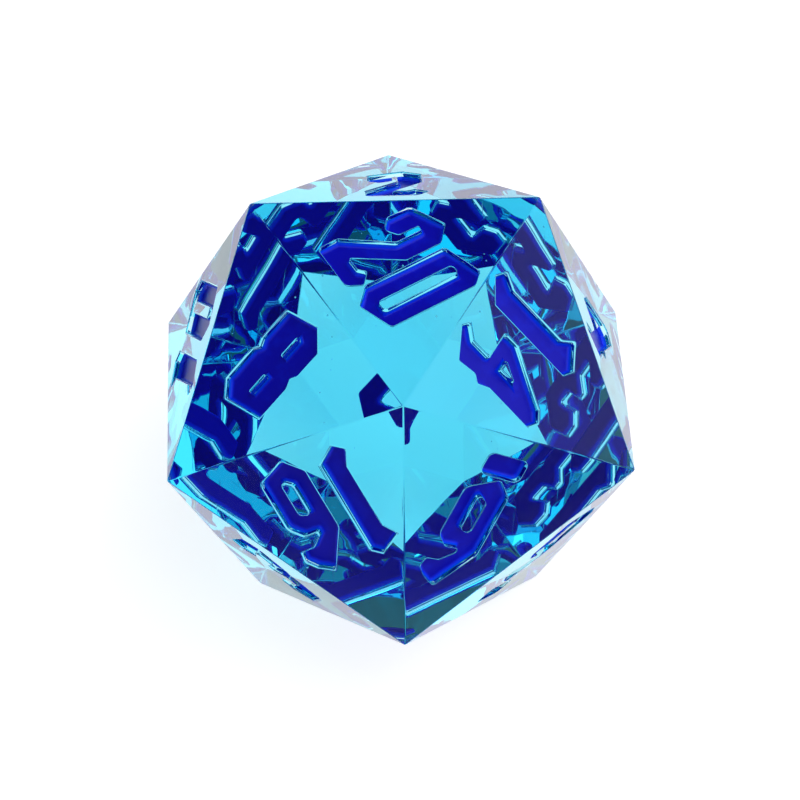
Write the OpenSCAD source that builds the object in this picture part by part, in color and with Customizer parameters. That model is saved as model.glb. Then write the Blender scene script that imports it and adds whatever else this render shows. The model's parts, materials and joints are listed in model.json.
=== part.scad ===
// Sharp-edged twenty-sided number die: a clear cast body with engraved, painted numerals.
// Units are millimetres. The die lies on face 1 with face 20 on top. The origin is the
// centre of face 1, +Z points up through face 20, and the corner shared by faces
// 20, 14, 6, 16 and 8 points toward -Y.

/* [Body] */
// Distance between opposite faces
across_faces = 22; // [14:0.5:60]
// Height cut off each sharp edge, which leaves a narrow flat along it
edge_break = 0.009; // [0.004:0.001:0.1]
// Height cut off each corner point
corner_break = 0.034; // [0.01:0.001:0.5]

/* [Numerals] */
// Depth of each moulded numeral below its face
recess_depth = 0.5; // [0.35:0.05:1.0]
// Thickness of the dried paint on the recess floor
paint_floor = 0.08; // [0.05:0.01:0.2]
// Thickness of the dried paint on the recess walls
paint_wall = 0.12; // [0.05:0.01:0.3]
// Depth at which the paint ends on the recess walls, leaving bare resin above
paint_lip = 0.24; // [0.0:0.01:0.25]
// Half of the spacing of two digits, as a share of the edge length
digit_offset = 0.105; // [0.09:0.001:0.12]
// Straight pieces in each rounded corner of a digit
corner_steps = 4; // [2:8]

/* [Hidden] */

resin_color = [0.25, 0.78, 0.90, 0.55];
paint_color = [0.05, 0.03, 0.55];

// ---- Icosahedron ----------------------------------------------------------------------
golden = (1 + sqrt(5)) / 2;
inradius = across_faces / 2;
edge = inradius * 12 / (sqrt(3) * (3 + sqrt(5)));
circumradius = edge * sqrt(golden * sqrt(5)) / 2;
midradius = edge * golden / 2;
// The corners lie in four level rings of three. The middle rings are golden times wider.
ring_small = edge / sqrt(3);
ring_large = ring_small * golden;
ring_height = inradius / pow(golden, 3);

function ring_corner(radius, angle, height) =
    [radius * cos(angle), radius * sin(angle), height];

// Corner numbers: 0-2 top ring, 3-5 upper, 6-8 lower, 9-11 bottom ring, all counter-clockwise.
CORNERS = [for (k = [0:11])
    let (row = floor(k / 3), turn = 120 * (k % 3))
    row == 0 ? ring_corner(ring_small, turn - 90, inradius)
    : row == 1 ? ring_corner(ring_large, turn - 30, ring_height)
    : row == 2 ? ring_corner(ring_large, turn - 90, -ring_height)
    : ring_corner(ring_small, turn - 30, -inradius)];

// One line per face: the number, then its three corners. The first corner is the one that
// the top of the number points to. Opposite faces add up to twenty-one.
FACES = [
    [1, 11, 9, 10],
    [2, 4, 1, 2],
    [3, 5, 6, 11],
    [4, 7, 1, 3],
    [5, 4, 10, 7],
    [6, 6, 0, 3],
    [7, 8, 10, 11],
    [8, 5, 0, 2],
    [9, 3, 6, 9],
    [10, 8, 2, 5],
    [11, 3, 7, 9],
    [12, 8, 4, 2],
    [13, 7, 10, 9],
    [14, 3, 0, 1],
    [15, 4, 10, 8],
    [16, 6, 0, 5],
    [17, 5, 11, 8],
    [18, 7, 4, 1],
    [19, 6, 9, 11],
    [20, 1, 0, 2]];

function unit(v) = v / norm(v);
function face_centre(face) = (CORNERS[face[1]] + CORNERS[face[2]] + CORNERS[face[3]]) / 3;

// Moves +X, +Y and +Z to the directions right, up and out, then to the point at.
module align(right, up, out, at = [0, 0, 0]) {
    multmatrix([[right[0], up[0], out[0], at[0]],
                [right[1], up[1], out[1], at[1]],
                [right[2], up[2], out[2], at[2]]])
        children();
}

// Lays its child on a face: Y toward the face's first corner, Z outward from the face.
module on_face(face) {
    centre = face_centre(face);
    out = unit(centre);
    up = unit(CORNERS[face[1]] - centre);
    align(cross(up, out), up, out, centre)
        children();
}

// A wide plate centred on the die, with its two flat sides square to a direction.
module slab(direction, half_thickness) {
    out = unit(direction);
    side = unit(cross(abs(out[2]) < 0.9 ? [0, 0, 1] : [1, 0, 0], out));
    align(side, cross(out, side), out)
        cube([4 * inradius, 4 * inradius, 2 * half_thickness], center = true);
}

// Opposite faces, edges and corners share a slab, so half of each set is enough.
EDGE_DIRECTIONS = [for (i = [0:10]) for (j = [i + 1:11])
    let (middle = (CORNERS[i] + CORNERS[j]) / 2, span = norm(CORNERS[i] - CORNERS[j]))
    let (side = middle[2] + 0.01 * middle[1] + 0.0001 * middle[0])
    if (span < 1.1 * edge && side > 0) middle];

module blank() {
    intersection() {
        intersection_for (number = [1:10])
            slab(face_centre(FACES[number - 1]), inradius);
        intersection_for (direction = EDGE_DIRECTIONS)
            slab(direction, midradius - edge_break);
        intersection_for (k = [0:5])
            slab(CORNERS[k], circumradius - corner_break);
    }
}

// ---- Digits ---------------------------------------------------------------------------
// Every outline is a loop of [x, y, rounding radius] corners, counter-clockwise, in shares
// of the edge length. A counter (the hole in a digit) is a loop of the same kind.

OUTER = [
    // 0
    [[-0.098, -0.135, 0.018], [-0.036, -0.196, 0.014], [0.096, -0.148, 0.018],
     [0.096, 0.188, 0.020], [0.056, 0.232, 0.014], [-0.094, 0.182, 0.022]],
    // 1
    [[-0.078, -0.200, 0.014], [-0.036, -0.226, 0.014], [0.044, -0.168, 0.012],
     [0.044, 0.188, 0.014], [0.006, 0.212, 0.012], [-0.082, 0.158, 0.012],
     [-0.045, 0.112, 0.014], [-0.045, -0.140, 0.022]],
    // 2
    [[-0.106, -0.192, 0.016], [0.076, -0.192, 0.026], [0.106, -0.136, 0.010],
     [0.064, -0.098, 0.010], [0.038, -0.122, 0.010], [-0.020, -0.122, 0.006],
     [0.092, 0.044, 0.018], [0.092, 0.184, 0.022], [0.030, 0.238, 0.012],
     [-0.094, 0.172, 0.024], [-0.096, 0.080, 0.022], [-0.056, 0.046, 0.020],
     [-0.013, 0.078, 0.018], [-0.011, 0.156, 0.006], [0.011, 0.156, 0.006],
     [0.011, 0.054, 0.030], [-0.108, -0.112, 0.020]],
    // 3
    [[-0.100, -0.165, 0.014], [-0.030, -0.214, 0.012], [0.098, -0.158, 0.018],
     [0.098, -0.028, 0.016], [0.082, 0.000, 0.008], [0.098, 0.026, 0.016],
     [0.098, 0.174, 0.020], [0.048, 0.218, 0.012], [-0.100, 0.160, 0.016],
     [-0.100, 0.100, 0.020], [-0.062, 0.070, 0.014], [0.012, 0.124, 0.008],
     [0.012, 0.040, 0.010], [-0.046, 0.006, 0.008], [-0.046, -0.020, 0.008],
     [0.012, -0.046, 0.010], [0.012, -0.118, 0.010], [-0.062, -0.078, 0.014],
     [-0.100, -0.110, 0.018]],
    // 4
    [[-0.034, -0.212, 0.010], [-0.006, -0.230, 0.012], [0.100, -0.170, 0.014],
     [0.088, -0.092, 0.020], [0.110, -0.066, 0.010], [0.088, -0.022, 0.016],
     [0.088, 0.178, 0.018], [0.046, 0.204, 0.014], [0.010, 0.180, 0.014],
     [-0.110, -0.018, 0.020], [-0.108, -0.078, 0.018], [0.008, -0.078, 0.010],
     [0.008, -0.166, 0.018]],
    // 5
    [[-0.100, -0.165, 0.014], [-0.030, -0.214, 0.012], [0.098, -0.158, 0.018],
     [0.098, 0.040, 0.018], [0.040, 0.092, 0.014], [-0.012, 0.064, 0.010],
     [-0.012, 0.136, 0.008], [0.074, 0.136, 0.020], [0.106, 0.196, 0.012],
     [0.078, 0.222, 0.012], [0.040, 0.210, 0.016], [-0.098, 0.210, 0.016],
     [-0.098, -0.026, 0.010], [-0.072, -0.040, 0.010], [0.012, 0.010, 0.010],
     [0.012, -0.118, 0.010], [-0.062, -0.078, 0.014], [-0.100, -0.110, 0.018]],
    // 6
    [[-0.098, -0.168, 0.030], [-0.034, -0.226, 0.026], [0.086, -0.168, 0.036],
     [0.086, 0.026, 0.036], [0.042, 0.066, 0.026], [-0.016, 0.062, 0.008],
     [-0.014, 0.082, 0.010], [0.034, 0.122, 0.014], [0.086, 0.126, 0.014],
     [0.092, 0.162, 0.014], [0.060, 0.194, 0.016], [0.004, 0.222, 0.016],
     [-0.098, 0.070, 0.040]],
    // 7
    [[-0.052, -0.212, 0.012], [0.018, -0.222, 0.014], [0.040, -0.186, 0.014],
     [0.028, -0.100, 0.020], [0.100, 0.090, 0.030], [0.100, 0.200, 0.016],
     [0.062, 0.222, 0.012], [0.026, 0.208, 0.014], [-0.098, 0.208, 0.018],
     [-0.104, 0.108, 0.014], [-0.070, 0.104, 0.012], [-0.040, 0.130, 0.014],
     [0.020, 0.130, 0.008], [-0.058, -0.070, 0.030]],
    // 8
    [[-0.106, -0.152, 0.014], [-0.038, -0.208, 0.012], [0.098, -0.156, 0.016],
     [0.098, -0.026, 0.016], [0.084, 0.002, 0.008], [0.098, 0.028, 0.016],
     [0.098, 0.168, 0.018], [0.048, 0.216, 0.012], [-0.106, 0.160, 0.016],
     [-0.106, 0.018, 0.016], [-0.090, -0.016, 0.008], [-0.106, -0.046, 0.016]]];

COUNTERS = [
    [[[-0.020, -0.134, 0.018], [0.025, -0.134, 0.018],
      [0.025, 0.166, 0.018], [-0.020, 0.166, 0.018]]],
    [],
    [],
    [],
    [[[-0.042, -0.022, 0.006], [0.008, -0.022, 0.006], [0.008, 0.062, 0.006]]],
    [],
    [[[-0.028, -0.128, 0.022], [0.020, -0.160, 0.022],
      [0.020, -0.010, 0.022], [-0.028, 0.002, 0.022]]],
    [],
    [[[-0.018, 0.048, 0.008], [0.000, 0.048, 0.008],
      [0.000, 0.136, 0.008], [-0.018, 0.130, 0.008]],
     [[-0.018, -0.124, 0.008], [0.000, -0.132, 0.008],
      [0.000, -0.040, 0.008], [-0.018, -0.040, 0.008]]]];

// The bar under 6 and under 9 that tells them apart.
UNDERBAR = [[-0.084, -0.210, 0.026], [0.082, -0.210, 0.026],
            [0.082, -0.124, 0.026], [-0.084, -0.124, 0.026]];

// Corner i of a loop, moved inward by inset. A counter uses a negative inset.
function flat(p) = [p[0], p[1]];
function inset_corner(loop, i, inset) =
    let (n = len(loop), p = flat(loop[i]))
    let (a = unit(p - flat(loop[(i + n - 1) % n])), b = unit(flat(loop[(i + 1) % n]) - p))
    let (left_a = [-a[1], a[0]], left_b = [-b[1], b[0]])
    let (bisector = left_a + left_b, turn = a[0] * b[1] - a[1] * b[0])
    let (moved = p + bisector * inset * 2 / (bisector * bisector))
    [moved[0], moved[1], max(0.003, loop[i][2] - sign(turn) * inset)];

// The same loop with every corner replaced by an arc tangent to both of its sides.
function rounded(loop) = [for (i = [0:len(loop) - 1])
    let (n = len(loop), p = flat(loop[i]))
    let (to_last = flat(loop[(i + n - 1) % n]) - p, to_next = flat(loop[(i + 1) % n]) - p)
    let (a = unit(to_last), b = unit(to_next), half = acos(max(-1, min(1, a * b))) / 2)
    let (reach = min(loop[i][2] / tan(half), 0.48 * min(norm(to_last), norm(to_next))))
    let (radius = reach * tan(half), middle = p + unit(a + b) * reach / cos(half))
    let (start = p + a * reach - middle, finish = p + b * reach - middle)
    let (sweep = 180 - 2 * half, spin = sign(start[0] * finish[1] - start[1] * finish[0]))
    for (k = [0:corner_steps])
        let (t = spin * sweep * k / corner_steps)
        middle + [start[0] * cos(t) - start[1] * sin(t), start[0] * sin(t) + start[1] * cos(t)]];

module loop_shape(loop, inset) {
    polygon(rounded([for (i = [0:len(loop) - 1]) inset_corner(loop, i, inset)]));
}

// A 9 is a 6 turned upside down.
module digit(value, inset) {
    shape = value == 9 ? 6 : value;
    rotate(value == 9 ? 180 : 0)
        difference() {
            loop_shape(OUTER[shape], inset);
            for (counter = COUNTERS[shape])
                loop_shape(counter, -inset);
        }
}

// How far a whole number sits off its face's centre. Hand-cut moulds vary a little.
function number_shift(number) = number == 1 ? [0.033, 0]
    : number == 2 ? [0.010, 0]
    : number == 5 ? [0.026, 0]
    : number == 7 ? [0.026, 0.006]
    : number == 10 ? [-0.014, 0]
    : number == 13 ? [-0.016, 0]
    : number == 14 ? [0.002, -0.036]
    : number == 15 ? [-0.026, 0]
    : number == 16 ? [-0.022, 0]
    : [0, 0];

// A whole number in flat outline, placed on its face, in millimetres.
module number_outline(number, inset = 0) {
    scale(edge)
        translate(number_shift(number))
            if (number == 6 || number == 9) {
                translate([0.018, 0.108])
                    digit(number, inset);
                loop_shape(UNDERBAR, inset);
            } else if (number < 10) {
                digit(number, inset);
            } else {
                translate([-digit_offset, 0])
                    digit(floor(number / 10), inset);
                translate([digit_offset, 0])
                    digit(number % 10, inset);
            }
}

// ---- Sub-parts ------------------------------------------------------------------------
module die_body() {
    color(resin_color)
        translate([0, 0, inradius])
            difference() {
                blank();
                for (face = FACES)
                    on_face(face)
                        translate([0, 0, -recess_depth])
                            linear_extrude(2 * recess_depth)
                                number_outline(face[0]);
            }
}

// The paint is a thin tray: it lines the floor and the walls of its recess.
module numeral(number) {
    color(paint_color)
        translate([0, 0, inradius])
            on_face(FACES[number - 1])
                translate([0, 0, -recess_depth])
                    difference() {
                        linear_extrude(recess_depth - paint_lip)
                            number_outline(number);
                        translate([0, 0, paint_floor])
                            linear_extrude(recess_depth)
                                number_outline(number, paint_wall / edge);
                    }
}

die_body();
numeral(1);  // numeral_01
numeral(2);  // numeral_02
numeral(3);  // numeral_03
numeral(4);  // numeral_04
numeral(5);  // numeral_05
numeral(6);  // numeral_06
numeral(7);  // numeral_07
numeral(8);  // numeral_08
numeral(9);  // numeral_09
numeral(10);  // numeral_10
numeral(11);  // numeral_11
numeral(12);  // numeral_12
numeral(13);  // numeral_13
numeral(14);  // numeral_14
numeral(15);  // numeral_15
numeral(16);  // numeral_16
numeral(17);  // numeral_17
numeral(18);  // numeral_18
numeral(19);  // numeral_19
numeral(20);  // numeral_20
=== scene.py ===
"""Looks for a clear cast-resin twenty-sided die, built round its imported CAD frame.

Lengths of the die and the camera are millimetres, until a mesh or a matrix is made in metres.
"""
import math
import random

import bpy
from mathutils import Matrix, Vector
from mathutils.geometry import delaunay_2d_cdt
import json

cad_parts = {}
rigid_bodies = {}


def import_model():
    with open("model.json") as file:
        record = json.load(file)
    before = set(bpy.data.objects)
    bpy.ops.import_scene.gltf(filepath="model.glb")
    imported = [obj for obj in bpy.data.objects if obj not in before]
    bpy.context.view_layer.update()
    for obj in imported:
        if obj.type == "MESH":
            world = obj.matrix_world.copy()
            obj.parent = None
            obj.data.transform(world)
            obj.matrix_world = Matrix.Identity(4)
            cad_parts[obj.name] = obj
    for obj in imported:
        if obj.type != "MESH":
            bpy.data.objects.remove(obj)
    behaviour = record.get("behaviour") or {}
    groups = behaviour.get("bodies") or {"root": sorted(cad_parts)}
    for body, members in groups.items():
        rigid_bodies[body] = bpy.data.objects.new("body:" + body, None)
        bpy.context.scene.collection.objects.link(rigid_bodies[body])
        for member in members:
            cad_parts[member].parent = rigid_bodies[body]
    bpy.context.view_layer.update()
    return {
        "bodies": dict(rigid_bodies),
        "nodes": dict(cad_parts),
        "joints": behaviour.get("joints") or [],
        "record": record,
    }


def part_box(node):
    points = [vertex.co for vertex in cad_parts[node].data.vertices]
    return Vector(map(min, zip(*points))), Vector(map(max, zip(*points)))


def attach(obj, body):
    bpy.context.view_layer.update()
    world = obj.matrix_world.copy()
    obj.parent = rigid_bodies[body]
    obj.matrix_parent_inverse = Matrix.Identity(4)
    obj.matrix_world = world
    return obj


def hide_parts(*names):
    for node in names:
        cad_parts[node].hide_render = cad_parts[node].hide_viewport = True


MM = 0.001

# ---- Sizes ----------------------------------------------------------------------------
EDGE_RADIUS = 0.14          # rounding along the sharp edges
EDGE_STEPS = 3
RECESS_DEPTH = 0.50
RECESS_LIP = 0.11           # rounding where a recess meets its face
NARROW_LIP = 0.025          # the same on the numbers that have little room round them
TIGHT_NUMBERS = (6, 9, 15, 20)
OUTLINE_CURVE = 0.25        # how far in from an outline the recess floor levels out
COUNTER_CURVE = 0.13        # the same round a counter
PAINT_TOP = 0.24            # depth at which the paint ends on the recess wall
PAINT_SURFACE = 0.43        # depth of the paint's open surface in mid-stroke
FILM_OVERLAP = 0.008        # how far the paint reaches into the resin, so no air shows
CORNER_STEPS = 5            # straight pieces in each rounded corner of a digit
DIGIT_OFFSET = 0.105        # half the spacing of two digits, as a share of the edge
BUBBLE_SEED = 20
BUBBLE_COUNT = 26
BUBBLE_REACH = 9.0          # the bubbles' farthest distance from the die's centre
BUBBLE_RADII = (0.025, 0.055)
BUBBLE_ROWS = 6

GOLDEN = (1 + math.sqrt(5)) / 2
INRADIUS_SHARE = 0.7946545  # an icosahedron's face distance, as a share of its corner distance


# ---- Icosahedron ----------------------------------------------------------------------
def ring_corner(radius, degrees, height):
    turn = math.radians(degrees)
    return Vector((radius * math.cos(turn), radius * math.sin(turn), height))


def die_corners(inradius, edge):
    """Twelve corners in four level rings of three, counter-clockwise in each ring."""
    small = edge / math.sqrt(3)
    large = small * GOLDEN
    height = inradius / GOLDEN ** 3
    rings = [(small, -90, inradius), (large, -30, height),
             (large, -90, -height), (small, -30, -inradius)]
    return [ring_corner(radius, start + 120 * k, z) for radius, start, z in rings for k in range(3)]


# The number on a face, then the face's corners. The number's top points to the first one.
FACES = {
    1: (11, 9, 10), 2: (4, 1, 2), 3: (5, 6, 11), 4: (7, 1, 3), 5: (4, 10, 7),
    6: (6, 0, 3), 7: (8, 10, 11), 8: (5, 0, 2), 9: (3, 6, 9), 10: (8, 2, 5),
    11: (3, 7, 9), 12: (8, 4, 2), 13: (7, 10, 9), 14: (3, 0, 1), 15: (4, 10, 8),
    16: (6, 0, 5), 17: (5, 11, 8), 18: (7, 4, 1), 19: (6, 9, 11), 20: (1, 0, 2),
}


def face_frame(corners, number):
    """Places X right, Y toward the face's first corner and Z outward, from the face's centre."""
    apex, second, third = (corners[k] for k in FACES[number])
    centre = (apex + second + third) / 3
    out = centre.normalized()
    up = (apex - centre).normalized()
    right = up.cross(out)
    frame = Matrix((right, up, out)).transposed().to_4x4()
    frame.translation = centre
    return frame


# ---- Digits ---------------------------------------------------------------------------
# Each loop is a counter-clockwise list of (x, y, rounding radius), in shares of the edge.
OUTLINES = {
    0: [(-.098, -.135, .018), (-.036, -.196, .014), (.096, -.148, .018), (.096, .188, .020),
        (.056, .232, .014), (-.094, .182, .022)],
    1: [(-.078, -.200, .014), (-.036, -.226, .014), (.044, -.168, .012), (.044, .188, .014),
        (.006, .212, .012), (-.082, .158, .012), (-.045, .112, .014), (-.045, -.140, .022)],
    2: [(-.106, -.192, .016), (.076, -.192, .026), (.106, -.136, .010), (.064, -.098, .010),
        (.038, -.122, .010), (-.020, -.122, .006), (.092, .044, .018), (.092, .184, .022),
        (.030, .238, .012), (-.094, .172, .024), (-.096, .080, .022), (-.056, .046, .020),
        (-.013, .078, .018), (-.011, .156, .006), (.011, .156, .006), (.011, .054, .030),
        (-.108, -.112, .020)],
    3: [(-.100, -.165, .014), (-.030, -.214, .012), (.098, -.158, .018), (.098, -.028, .016),
        (.082, .000, .008), (.098, .026, .016), (.098, .174, .020), (.048, .218, .012),
        (-.100, .160, .016), (-.100, .100, .020), (-.062, .070, .014), (.012, .124, .008),
        (.012, .040, .010), (-.046, .006, .008), (-.046, -.020, .008), (.012, -.046, .010),
        (.012, -.118, .010), (-.062, -.078, .014), (-.100, -.110, .018)],
    4: [(-.034, -.212, .010), (-.006, -.230, .012), (.100, -.170, .014), (.088, -.092, .020),
        (.110, -.066, .010), (.088, -.022, .016), (.088, .178, .018), (.046, .204, .014),
        (.010, .180, .014), (-.110, -.018, .020), (-.108, -.078, .018), (.008, -.078, .010),
        (.008, -.166, .018)],
    5: [(-.100, -.165, .014), (-.030, -.214, .012), (.098, -.158, .018), (.098, .040, .018),
        (.040, .092, .014), (-.012, .064, .010), (-.012, .136, .008), (.074, .136, .020),
        (.106, .196, .012), (.078, .222, .012), (.040, .210, .016), (-.098, .210, .016),
        (-.098, -.026, .010), (-.072, -.040, .010), (.012, .010, .010), (.012, -.118, .010),
        (-.062, -.078, .014), (-.100, -.110, .018)],
    6: [(-.098, -.168, .030), (-.034, -.226, .026), (.086, -.168, .036), (.086, .026, .036),
        (.042, .066, .026), (-.016, .062, .008), (-.014, .082, .010), (.034, .122, .014),
        (.086, .126, .014), (.092, .162, .014), (.060, .194, .016), (.004, .222, .016),
        (-.098, .070, .040)],
    7: [(-.052, -.212, .012), (.018, -.222, .014), (.040, -.186, .014), (.028, -.100, .020),
        (.100, .090, .030), (.100, .200, .016), (.062, .222, .012), (.026, .208, .014),
        (-.098, .208, .018), (-.104, .108, .014), (-.070, .104, .012), (-.040, .130, .014),
        (.020, .130, .008), (-.058, -.070, .030)],
    8: [(-.106, -.152, .014), (-.038, -.208, .012), (.098, -.156, .016), (.098, -.026, .016),
        (.084, .002, .008), (.098, .028, .016), (.098, .168, .018), (.048, .216, .012),
        (-.106, .160, .016), (-.106, .018, .016), (-.090, -.016, .008), (-.106, -.046, .016)],
}
COUNTERS = {
    0: [[(-.020, -.134, .018), (.025, -.134, .018), (.025, .166, .018), (-.020, .166, .018)]],
    4: [[(-.042, -.022, .006), (.008, -.022, .006), (.008, .062, .006)]],
    6: [[(-.028, -.128, .022), (.020, -.160, .022), (.020, -.010, .022), (-.028, .002, .022)]],
    8: [[(-.018, .048, .008), (.000, .048, .008), (.000, .136, .008), (-.018, .130, .008)],
        [(-.018, -.124, .008), (.000, -.132, .008), (.000, -.040, .008), (-.018, -.040, .008)]],
}
UNDERBAR = [(-.084, -.210, .026), (.082, -.210, .026), (.082, -.124, .026), (-.084, -.124, .026)]
NUMBER_SHIFT = {1: (.033, 0), 2: (.010, 0), 5: (.026, 0), 7: (.026, .006), 10: (-.014, 0),
                13: (-.016, 0), 14: (.002, -.036), 15: (-.026, 0), 16: (-.022, 0)}


def placed(loop, shift, half_turn=False):
    sign = -1 if half_turn else 1
    return [(sign * x + shift[0], sign * y + shift[1], r) for x, y, r in loop]


def digit_shapes(value, shift):
    """A digit's outline with its counters. A 9 is a 6 turned upside down."""
    shape = 6 if value == 9 else value
    loops = [OUTLINES[shape]] + COUNTERS.get(shape, [])
    return [placed(loop, shift, value == 9) for loop in loops]


def number_shapes(number, edge):
    """The separate shapes of one number, each an outline then its counters, in millimetres."""
    dx, dy = NUMBER_SHIFT.get(number, (0, 0))
    if number in (6, 9):
        shapes = [digit_shapes(number, (dx + .018, dy + .108)), [placed(UNDERBAR, (dx, dy))]]
    elif number < 10:
        shapes = [digit_shapes(number, (dx, dy))]
    else:
        shapes = [digit_shapes(number // 10, (dx - DIGIT_OFFSET, dy)),
                  digit_shapes(number % 10, (dx + DIGIT_OFFSET, dy))]
    return [[[(x * edge, y * edge, r * edge) for x, y, r in loop] for loop in shape]
            for shape in shapes]


def inset_loop(loop, inset):
    """The same loop with its sides moved inward, and its corner radii changed to match."""
    moved = []
    for i, (x, y, radius) in enumerate(loop):
        here = Vector((x, y))
        a = (here - Vector(loop[i - 1][:2])).normalized()
        b = (Vector(loop[(i + 1) % len(loop)][:2]) - here).normalized()
        bisector = Vector((-a.y - b.y, a.x + b.x))
        turn = a.x * b.y - a.y * b.x
        here = here + bisector * (2 * inset / bisector.length_squared)
        moved.append((here.x, here.y, max(0.04, radius - math.copysign(inset, turn))))
    return moved


def rounded(loop):
    """The loop with arcs for corners: a list of (point, direction pointing out of the loop)."""
    ring = []
    for i, (x, y, radius) in enumerate(loop):
        here = Vector((x, y))
        back = Vector(loop[i - 1][:2]) - here
        on = Vector(loop[(i + 1) % len(loop)][:2]) - here
        a, b = back.normalized(), on.normalized()
        half = math.acos(max(-1, min(1, a.dot(b)))) / 2
        reach = min(radius / math.tan(half), 0.48 * min(back.length, on.length))
        radius = reach * math.tan(half)
        middle = here + (a + b).normalized() * (reach / math.cos(half))
        start, finish = here + a * reach - middle, here + b * reach - middle
        spin = math.copysign(1, start.x * finish.y - start.y * finish.x)
        for k in range(CORNER_STEPS + 1):
            turn = spin * (math.pi - 2 * half) * k / CORNER_STEPS
            arm = Matrix.Rotation(turn, 2) @ start
            ring.append((middle + arm, arm.normalized() * spin))
    return ring


# ---- Mesh building --------------------------------------------------------------------
def loop_area(points):
    """Twice the signed area of a flat loop: positive when it runs counter-clockwise."""
    return sum(a.x * b.y - b.x * a.y for a, b in zip(points, points[1:] + points[:1]))


class Shell:
    """Collects points with their smooth normals, then becomes one mesh."""

    def __init__(self):
        self.points = []
        self.normals = []
        self.depths = []
        self.faces = []
        self.slots = []

    def add(self, point, normal, depth=0.0):
        self.points.append(point)
        self.normals.append(normal)
        self.depths.append(depth)
        return len(self.points) - 1

    def face(self, indices, slot=0):
        self.faces.append(indices)
        self.slots.append(slot)

    def strip(self, first, second, flip, slot=0):
        """Quads between two closed rings with the same number of points."""
        for i in range(len(first)):
            j = (i + 1) % len(first)
            quad = (first[i], first[j], second[j], second[i])
            self.face(quad[::-1] if flip else quad, slot)

    def cap(self, rings, out, slot=0):
        """Fills the flat area inside the first ring and outside the rest, facing out."""
        flat = [index for ring in rings for index in ring]
        level = out.to_track_quat("Z", "Y").inverted()
        places = [(level @ self.points[index]).xy for index in flat]
        borders = []
        start = 0
        for ring in rings:
            border = list(range(start, start + len(ring)))
            start += len(ring)
            borders.append(border if loop_area([places[k] for k in border]) > 0 else border[::-1])
        _, _, triangles, sources, _, areas = delaunay_2d_cdt(places, [], borders, 1, 1e-7)
        for triangle, area in zip(triangles, areas):
            if any(area):
                continue
            a, b, c = (flat[sources[k][0]] for k in triangle)
            side = (self.points[b] - self.points[a]).cross(self.points[c] - self.points[a])
            self.face((a, b, c) if side.dot(out) > 0 else (a, c, b), slot)

    def build(self, name, lift):
        """The mesh object, in metres, raised so that the die stands on z = 0."""
        mesh = bpy.data.meshes.new(name)
        mesh.from_pydata([(p + lift) * MM for p in self.points], [], self.faces)
        mesh.polygons.foreach_set("material_index", self.slots)
        mesh.polygons.foreach_set("use_smooth", [True] * len(self.faces))
        mesh.normals_split_custom_set_from_vertices([n.normalized() for n in self.normals])
        mesh.attributes.new("depth", "FLOAT", "POINT").data.foreach_set("value", self.depths)
        piece = bpy.data.objects.new(name, mesh)
        bpy.context.scene.collection.objects.link(piece)
        return piece


def profile_ring(shell, frame, loop, kind, inset, depth, tilt, facing):
    """One level of a recess or paint profile.

    kind is 1 for an outline and -1 for a counter. tilt is the surface's slope in degrees:
    0 is level and 90 is upright. facing is 1 where the surface looks into the open recess
    and -1 where it looks into the resin.
    """
    turn = frame.to_3x3()
    sine, cosine = math.sin(math.radians(tilt)), math.cos(math.radians(tilt))
    ring = []
    for point, out in rounded(inset_loop(loop, kind * inset)):
        away = out * kind
        normal = Vector((-away.x * sine, -away.y * sine, cosine)) * facing
        place = frame @ Vector((point.x, point.y, -depth))
        ring.append(shell.add(place, turn @ normal, depth))
    return ring


def arc(count):
    return [90 * k / count for k in range(count + 1)]


def lip_size(number):
    return NARROW_LIP if number in TIGHT_NUMBERS else RECESS_LIP


def curve_size(kind):
    return OUTLINE_CURVE if kind == 1 else COUNTER_CURVE


def lip_profile(lip):
    """(inset, depth, tilt) round the rounded lip, from the face down to the wall."""
    levels = []
    for degrees in arc(4)[:-1]:
        swing = math.radians(degrees)
        levels.append((lip * (math.sin(swing) - 1), lip * (1 - math.cos(swing)), degrees))
    return levels


def wall_profile(kind, lip, top, grow=0.0):
    """(inset, depth, tilt) down the curved wall from the depth top, moved into the resin by grow."""
    curve, drop = curve_size(kind), RECESS_DEPTH - lip
    first = math.degrees(math.asin((top - lip) / drop))
    levels = []
    for step in arc(6):
        swing = math.radians(first + (90 - first) * step / 90)
        slope = math.atan2(drop * math.cos(swing), curve * math.sin(swing))
        levels.append((curve * (1 - math.cos(swing)) - grow * math.sin(slope),
                       lip + drop * math.sin(swing) + grow * math.cos(slope),
                       math.degrees(slope)))
    return levels


def pool_profile(kind, lip):
    """(inset, depth, tilt) of the paint's open side, which hollows between its rims."""
    start = wall_profile(kind, lip, PAINT_TOP)[0][0] + 0.012
    width = curve_size(kind) - start
    drop = PAINT_SURFACE - PAINT_TOP
    levels = []
    for degrees in arc(5):
        swing = math.radians(degrees)
        slope = math.atan2(drop * math.cos(swing), width * math.sin(swing))
        levels.append((start + width * (1 - math.cos(swing)), PAINT_TOP + drop * math.sin(swing),
                       math.degrees(slope)))
    return levels


def sweep(shell, frame, loops, profile, facing, slot=0):
    """Sweeps a profile round an outline and its counters. Returns each one's end rings."""
    ends = []
    for index, loop in enumerate(loops):
        kind = -1 if index else 1
        rings = [profile_ring(shell, frame, loop, kind, *level, facing) for level in profile(kind)]
        for upper, lower in zip(rings, rings[1:]):
            shell.strip(upper, lower, flip=(kind * facing < 0), slot=slot)
        ends.append((rings[0], rings[-1]))
    return ends


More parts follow.
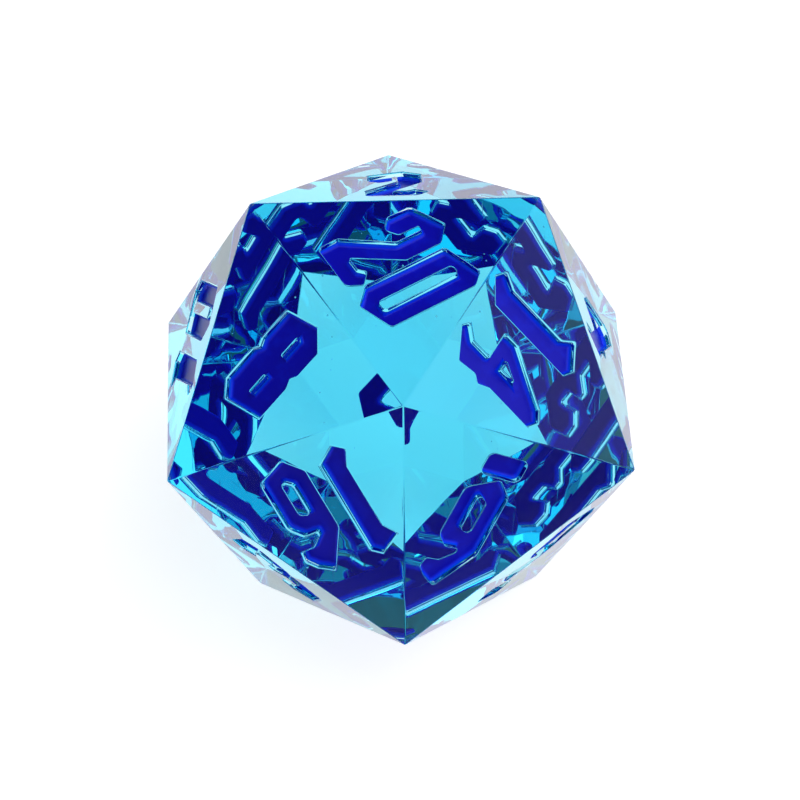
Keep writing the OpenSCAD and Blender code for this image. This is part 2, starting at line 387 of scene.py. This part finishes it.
def resin_body(corners, edge, lift):
    """The cast body: twenty flat faces with rounded edges, and a recess for each digit."""
    shell = Shell()
    normals = {n: face_frame(corners, n).to_3x3().col[2].copy() for n in FACES}
    centres = [c * (1 - EDGE_RADIUS / (c.length * INRADIUS_SHARE)) for c in corners]
    at_corner = {}

    def on_ball(corner, normal):
        """A point of the small ball that rounds off one corner."""
        key = (corner, tuple(round(value, 5) for value in normal))
        if key not in at_corner:
            at_corner[key] = shell.add(centres[corner] + normal * EDGE_RADIUS, normal)
        return at_corner[key]

    for number, face in FACES.items():
        frame = face_frame(corners, number)
        out = normals[number]
        border = [on_ball(k, out) for k in face]
        openings = []
        lip = lip_size(number)
        for loops in number_shapes(number, edge):
            ends = sweep(shell, frame, loops,
                         lambda kind: lip_profile(lip) + wall_profile(kind, lip, lip), facing=1)
            openings.append(ends[0][0])
            shell.cap([ring for _, ring in ends], out)
            for top, _ in ends[1:]:
                shell.cap([top], out)
        shell.cap([border] + openings, out)

    numbers = list(FACES)
    for i, first in enumerate(numbers):
        for second in numbers[i + 1:]:
            shared = [k for k in FACES[first] if k in FACES[second]]
            if len(shared) < 2:
                continue
            rows = []
            for corner in shared:
                rows.append([on_ball(corner, normals[first].slerp(normals[second], k / EDGE_STEPS))
                             for k in range(EDGE_STEPS + 1)])
            for k in range(EDGE_STEPS):
                quad = (rows[0][k], rows[1][k], rows[1][k + 1], rows[0][k + 1])
                add_outward(shell, quad)
            for corner, row in zip(shared, rows):
                tip = on_ball(corner, corners[corner].normalized())
                for k in range(EDGE_STEPS):
                    add_outward(shell, (tip, row[k], row[k + 1]))
    add_bubbles(shell)
    return shell.build("resin_body", lift)


def add_bubbles(shell):
    """Tiny air bubbles left in the casting: closed round cavities well inside the body."""
    chance = random.Random(BUBBLE_SEED)
    for _ in range(BUBBLE_COUNT):
        way = Vector([chance.gauss(0, 1) for _ in range(3)]).normalized()
        centre = way * BUBBLE_REACH * chance.random() ** (1 / 3)
        radius = chance.uniform(*BUBBLE_RADII)
        rings = []
        for row in range(1, BUBBLE_ROWS):
            polar = math.pi * row / BUBBLE_ROWS
            ring = []
            for k in range(2 * BUBBLE_ROWS):
                turn = math.pi * k / BUBBLE_ROWS
                arm = Vector((math.sin(polar) * math.cos(turn), math.sin(polar) * math.sin(turn),
                              math.cos(polar)))
                ring.append(shell.add(centre + arm * radius, -arm))
            rings.append(ring)
        for upper, lower in zip(rings, rings[1:]):
            shell.strip(upper, lower, flip=False)
        for ring, end in ((rings[0], 1), (rings[-1], -1)):
            pole = shell.add(centre + Vector((0, 0, end * radius)), Vector((0, 0, -end)))
            for k, index in enumerate(ring):
                following = ring[(k + 1) % len(ring)]
                shell.face((pole, following, index) if end > 0 else (pole, index, following))


def add_outward(shell, indices):
    a, b, c = (shell.points[i] for i in indices[:3])
    outward = (b - a).cross(c - a).dot(a) > 0
    shell.face(indices if outward else indices[::-1])


def paint_numeral(corners, edge, lift, number):
    """The paint in one number's recess: a film that lines the floor and climbs the walls."""
    shell = Shell()
    frame = face_frame(corners, number)
    out = frame.to_3x3().col[2].copy()
    lip = lip_size(number)
    for loops in number_shapes(number, edge):
        bonded = sweep(shell, frame, loops,
                       lambda kind: wall_profile(kind, lip, PAINT_TOP, FILM_OVERLAP),
                       facing=-1, slot=1)
        opened = sweep(shell, frame, loops, lambda kind: pool_profile(kind, lip), facing=1)
        for index, (lower, upper) in enumerate(zip(bonded, opened)):
            shell.strip(lower[0], upper[0], flip=(index != 0))
        shell.cap([ring for _, ring in bonded], -out, slot=1)
        shell.cap([ring for _, ring in opened], out)
    return shell.build(f"paint_{number:02d}", lift)


# ---- Materials ------------------------------------------------------------------------
WAVE_SCALE = 330.0          # scale of the noise, in object metres
WAVE_HEIGHT = 0.020
SCRATCH_DEPTH = 0.0006
SCRATCH_TURN = (0.5, 0.35, 0.9)
SCRATCH_SCALE = (9000, 260, 260)
CLOUD_SCALE = 900.0
CLOUD_REACH = 0.03          # how far the paint's clouds shift its depth shading
GRAIN_HEIGHT = 0.02
# Paint colours along the depth ramp: the thin end is partly thinning paint and partly a painted
# highlight up the walls, the deep end partly painted shade in mid-stroke.
PAINT_THIN_AND_LIT = (0.0, 0.11, 1.0, 1)
PAINT_MIDDLE = (0.002, 0.022, 0.85, 1)
PAINT_DEEP_AND_SHADED = (0.003, 0.003, 0.45, 1)
MIDDLE_AT = 0.75


class Nodes:
    """A short way to add and join shader nodes."""

    def __init__(self, tree):
        self.tree = tree
        tree.nodes.clear()

    def add(self, kind, **values):
        node = self.tree.nodes.new(kind)
        for key, value in values.items():
            if hasattr(node, key):
                setattr(node, key, value)
            else:
                node.inputs[key.replace("_", " ")].default_value = value
        return node

    def link(self, source, target):
        self.tree.links.new(source, target)


def new_material(name):
    material = bpy.data.materials.new(name)
    material.use_nodes = True
    return material, Nodes(material.node_tree)


def resin_bump(nodes):
    """Faint waves left by polishing, with a few hairline scratches. Returns the normal."""
    place = nodes.add("ShaderNodeTexCoord")
    waves = nodes.add("ShaderNodeTexNoise", Scale=WAVE_SCALE, Detail=1.5, Roughness=0.4)
    wave_bump = nodes.add("ShaderNodeBump", Strength=1.0, Distance=WAVE_HEIGHT * MM)
    stretch = nodes.add("ShaderNodeMapping")
    stretch.inputs["Rotation"].default_value = SCRATCH_TURN
    stretch.inputs["Scale"].default_value = SCRATCH_SCALE
    hairs = nodes.add("ShaderNodeTexNoise", Scale=1.0, Detail=2.0)
    sparse = nodes.add("ShaderNodeMapRange", interpolation_type="SMOOTHSTEP")
    sparse.inputs["From Min"].default_value = 0.68
    sparse.inputs["From Max"].default_value = 0.78
    scratch_bump = nodes.add("ShaderNodeBump", Strength=1.0, Distance=SCRATCH_DEPTH * MM)
    scratch_bump.invert = True
    nodes.link(place.outputs["Object"], waves.inputs["Vector"])
    nodes.link(waves.outputs["Fac"], wave_bump.inputs["Height"])
    nodes.link(place.outputs["Object"], stretch.inputs["Vector"])
    nodes.link(stretch.outputs["Vector"], hairs.inputs["Vector"])
    nodes.link(hairs.outputs["Fac"], sparse.inputs["Value"])
    nodes.link(sparse.outputs["Result"], scratch_bump.inputs["Height"])
    nodes.link(wave_bump.outputs["Normal"], scratch_bump.inputs["Normal"])
    return scratch_bump.outputs["Normal"]


def resin_material():
    """Clear cyan casting resin: polished, with faint waves and hairline scratches."""
    material, nodes = new_material("clear_cyan_resin")
    surface = nodes.add("ShaderNodeBsdfPrincipled", Roughness=0.0, IOR=1.52)
    surface.inputs["Base Color"].default_value = (1, 1, 1, 1)
    surface.inputs["Transmission Weight"].default_value = 1.0
    # Specular Tint dims every reflection of the resin and turns it blue-grey: painted shade that
    # stands in for a dark room round the die.
    surface.inputs["Specular Tint"].default_value = (0.28, 0.3, 0.36, 1)
    volume = nodes.add("ShaderNodeVolumeAbsorption", Density=100.0)
    volume.inputs["Color"].default_value = (0.0, 0.85, 0.962, 1)
    output = nodes.add("ShaderNodeOutputMaterial")
    nodes.link(resin_bump(nodes), surface.inputs["Normal"])
    nodes.link(surface.outputs["BSDF"], output.inputs["Surface"])
    nodes.link(volume.outputs["Volume"], output.inputs["Volume"])
    return material


def paint_material(name, bonded):
    """Royal-blue paint, shaded by depth in the recess: lighter up the walls and darker in
    mid-stroke, partly as thinning paint and partly as painted highlight and shade; cloudy at random.

    The bonded side is the one seen through the resin, so it has no gloss of its own.
    """
    material, nodes = new_material(name)
    surface = nodes.add("ShaderNodeBsdfPrincipled", Roughness=0.6 if bonded else 0.3, IOR=1.45)
    surface.inputs["Specular IOR Level"].default_value = 0.0 if bonded else 0.12
    depth = nodes.add("ShaderNodeAttribute")
    depth.attribute_name = "depth"
    place = nodes.add("ShaderNodeTexCoord")
    clouds = nodes.add("ShaderNodeTexNoise", Scale=CLOUD_SCALE, Detail=4.0, Roughness=0.6)
    drift = nodes.add("ShaderNodeMapRange")
    drift.inputs["To Min"].default_value = -CLOUD_REACH
    drift.inputs["To Max"].default_value = CLOUD_REACH
    total = nodes.add("ShaderNodeMath", operation="ADD")
    # Painted shade by depth: darker toward the recess floor and lighter up the walls as a painted
    # highlight, in part the paint's own thinning.
    thickness_and_shade = nodes.add("ShaderNodeMapRange")
    thickness_and_shade.inputs["From Min"].default_value = PAINT_TOP
    thickness_and_shade.inputs["From Max"].default_value = RECESS_DEPTH if bonded else PAINT_SURFACE
    ramp = nodes.add("ShaderNodeValToRGB")
    ramp.color_ramp.elements[0].color = PAINT_THIN_AND_LIT
    ramp.color_ramp.elements[1].color = PAINT_DEEP_AND_SHADED
    ramp.color_ramp.elements.new(MIDDLE_AT).color = PAINT_MIDDLE
    grain = nodes.add("ShaderNodeBump", Strength=0.6, Distance=GRAIN_HEIGHT * MM)
    output = nodes.add("ShaderNodeOutputMaterial")
    nodes.link(place.outputs["Object"], clouds.inputs["Vector"])
    nodes.link(clouds.outputs["Fac"], drift.inputs["Value"])
    nodes.link(depth.outputs["Fac"], total.inputs[0])
    nodes.link(drift.outputs["Result"], total.inputs[1])
    nodes.link(total.outputs["Value"], thickness_and_shade.inputs["Value"])
    nodes.link(thickness_and_shade.outputs["Result"], ramp.inputs["Fac"])
    nodes.link(ramp.outputs["Color"], surface.inputs["Base Color"])
    nodes.link(clouds.outputs["Fac"], grain.inputs["Height"])
    nodes.link(grain.outputs["Normal"], surface.inputs["Normal"])
    nodes.link(surface.outputs["BSDF"], output.inputs["Surface"])
    return material


def floor_material():
    """A pale floor with a painted pool of light under and behind the die: it glows there like a
    light table, which fills in the die's shadow.
    """
    material, nodes = new_material("pale_floor")
    surface = nodes.add("ShaderNodeBsdfPrincipled", Roughness=0.7)
    surface.inputs["Base Color"].default_value = (0.48, 0.48, 0.48, 1)
    surface.inputs["Specular IOR Level"].default_value = 0.1
    surface.inputs["Emission Color"].default_value = (1, 1, 1, 1)
    place = nodes.add("ShaderNodeTexCoord")
    reach = nodes.add("ShaderNodeVectorMath", operation="DISTANCE")
    reach.inputs[1].default_value = POOL_CENTRE
    fade = nodes.add("ShaderNodeMapRange", interpolation_type="SMOOTHSTEP")
    fade.inputs["From Min"].default_value = POOL_RADIUS
    fade.inputs["From Max"].default_value = POOL_RADIUS + POOL_FADE
    fade.inputs["To Min"].default_value = FLOOR_GLOW
    fade.inputs["To Max"].default_value = 0.0
    output = nodes.add("ShaderNodeOutputMaterial")
    nodes.link(place.outputs["Object"], reach.inputs[0])
    nodes.link(reach.outputs["Value"], fade.inputs["Value"])
    nodes.link(fade.outputs["Result"], surface.inputs["Emission Strength"])
    nodes.link(surface.outputs["BSDF"], output.inputs["Surface"])
    return material


# ---- Studio ---------------------------------------------------------------------------
CAMERA_ELEVATION = 54.966
CAMERA_AZIMUTH = -2.3275
CAMERA_ROLL = 0.5586
CAMERA_DISTANCE = 263.51
CAMERA_RIGHT = 0.1741
CAMERA_UP = -0.2694
CAMERA_LENS = 230.46
# The floor, the pool and the lights are in metres.
FLOOR_HALF = 3.0
FLOOR_DROP = -0.00002
# The floor's glow in the pool is painted light that fills in the die's shadow.
FLOOR_GLOW = 0.78
POOL_CENTRE = (0.0, 0.008, 0.0)
POOL_RADIUS = 0.036
POOL_FADE = 0.022
ROOM_LIGHT = 0.18
# Soft areas of light in the room: azimuth (0 at -Y, 90 at +X), elevation, the angle out to
# which the light is full, the angle at which it has gone, and its brightness.
ROOM_AREAS = [
    (85, 25, 44, 60, 1.8),
    (-48, 12, 26, 42, 1.1),
    (180, -10, 22, 52, 0.60),
]


def add_camera(centre):
    """The camera looks down on the die from a long way off with a long lens."""
    elevation, azimuth = math.radians(CAMERA_ELEVATION), math.radians(CAMERA_AZIMUTH)
    back = Vector((math.cos(elevation) * math.sin(azimuth),
                   -math.cos(elevation) * math.cos(azimuth), math.sin(elevation)))
    level = Vector((math.cos(azimuth), math.sin(azimuth), 0))
    rise = back.cross(level)
    roll = math.radians(CAMERA_ROLL)
    right = level * math.cos(roll) + rise * math.sin(roll)
    up = rise * math.cos(roll) - level * math.sin(roll)
    place = centre + back * CAMERA_DISTANCE + right * CAMERA_RIGHT + up * CAMERA_UP
    camera = bpy.data.cameras.new("camera")
    camera.lens = CAMERA_LENS
    camera.sensor_width = 36
    camera.clip_start = 0.01
    camera.clip_end = 20
    holder = bpy.data.objects.new("camera", camera)
    matrix = Matrix((right, up, back)).transposed().to_4x4()
    matrix.translation = place * MM
    holder.matrix_world = matrix
    bpy.context.scene.collection.objects.link(holder)
    bpy.context.scene.camera = holder


def add_softbox(name, azimuth, elevation, distance, size, power):
    """A square area light that faces the die. Azimuth 0 is at -Y and 90 at +X."""
    light = bpy.data.lights.new(name, "AREA")
    light.shape = "SQUARE"
    light.size = size
    light.energy = power
    holder = bpy.data.objects.new(name, light)
    turn, rise = math.radians(azimuth), math.radians(elevation)
    direction = Vector((math.cos(rise) * math.sin(turn), -math.cos(rise) * math.cos(turn),
                        math.sin(rise)))
    holder.location = direction * distance
    holder.rotation_euler = direction.to_track_quat("Z", "Y").to_euler()
    bpy.context.scene.collection.objects.link(holder)


def add_floor():
    mesh = bpy.data.meshes.new("studio_floor")
    x = y = FLOOR_HALF
    mesh.from_pydata([(-x, -y, FLOOR_DROP), (x, -y, FLOOR_DROP), (x, y, FLOOR_DROP),
                      (-x, y, FLOOR_DROP)], [], [(0, 1, 2, 3)])
    floor = bpy.data.objects.new("studio_floor", mesh)
    bpy.context.scene.collection.objects.link(floor)
    mesh.materials.append(floor_material())


def studio_world():
    """A dim room with a broad soft light on the right and smaller ones in front and behind."""
    world = bpy.data.worlds.new("studio_world")
    world.use_nodes = True
    nodes = Nodes(world.node_tree)
    place = nodes.add("ShaderNodeTexCoord")
    brightest = nodes.add("ShaderNodeValue")
    brightest.outputs[0].default_value = ROOM_LIGHT
    for azimuth, elevation, full, gone, light in ROOM_AREAS:
        turn, rise = math.radians(azimuth), math.radians(elevation)
        along = nodes.add("ShaderNodeVectorMath", operation="DOT_PRODUCT")
        along.inputs[1].default_value = (math.cos(rise) * math.sin(turn),
                                         -math.cos(rise) * math.cos(turn), math.sin(rise))
        fade = nodes.add("ShaderNodeMapRange", interpolation_type="SMOOTHSTEP")
        fade.inputs["From Min"].default_value = math.cos(math.radians(gone))
        fade.inputs["From Max"].default_value = math.cos(math.radians(full))
        fade.inputs["To Min"].default_value = 0.0
        fade.inputs["To Max"].default_value = light
        larger = nodes.add("ShaderNodeMath", operation="MAXIMUM")
        nodes.link(place.outputs["Generated"], along.inputs[0])
        nodes.link(along.outputs["Value"], fade.inputs["Value"])
        nodes.link(brightest.outputs[0], larger.inputs[0])
        nodes.link(fade.outputs["Result"], larger.inputs[1])
        brightest = larger
    background = nodes.add("ShaderNodeBackground")
    output = nodes.add("ShaderNodeOutputWorld")
    nodes.link(brightest.outputs[0], background.inputs["Strength"])
    nodes.link(background.outputs["Background"], output.inputs["Surface"])
    return world


def add_studio():
    scene = bpy.context.scene
    scene.view_settings.view_transform = "Standard"
    scene.world = studio_world()
    add_floor()
    add_softbox("top_softbox", 60, 80, 0.5, 0.30, 0.6)
    scene.cycles.max_bounces = 40
    scene.cycles.transmission_bounces = 40
    scene.cycles.glossy_bounces = 24
    scene.cycles.diffuse_bounces = 5
    scene.cycles.sample_clamp_indirect = 2.5


# ---- Scene ----------------------------------------------------------------------------
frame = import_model()
low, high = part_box("die_body")
inradius = (high[2] - low[2]) / MM / 2
edge_length = inradius * 12 / (math.sqrt(3) * (3 + math.sqrt(5)))
corners = die_corners(inradius, edge_length)
lift = Vector((0, 0, inradius))

add_camera(lift)
add_studio()

body = resin_body(corners, edge_length, lift)
body.data.materials.append(resin_material())
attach(body, "root")
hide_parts("die_body")

open_paint = paint_material("numeral_paint_open", bonded=False)
bonded_paint = paint_material("numeral_paint_bonded", bonded=True)
for number in FACES:
    numeral = paint_numeral(corners, edge_length, lift, number)
    numeral.data.materials.append(open_paint)
    numeral.data.materials.append(bonded_paint)
    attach(numeral, "root")
    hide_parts(f"numeral_{number:02d}")
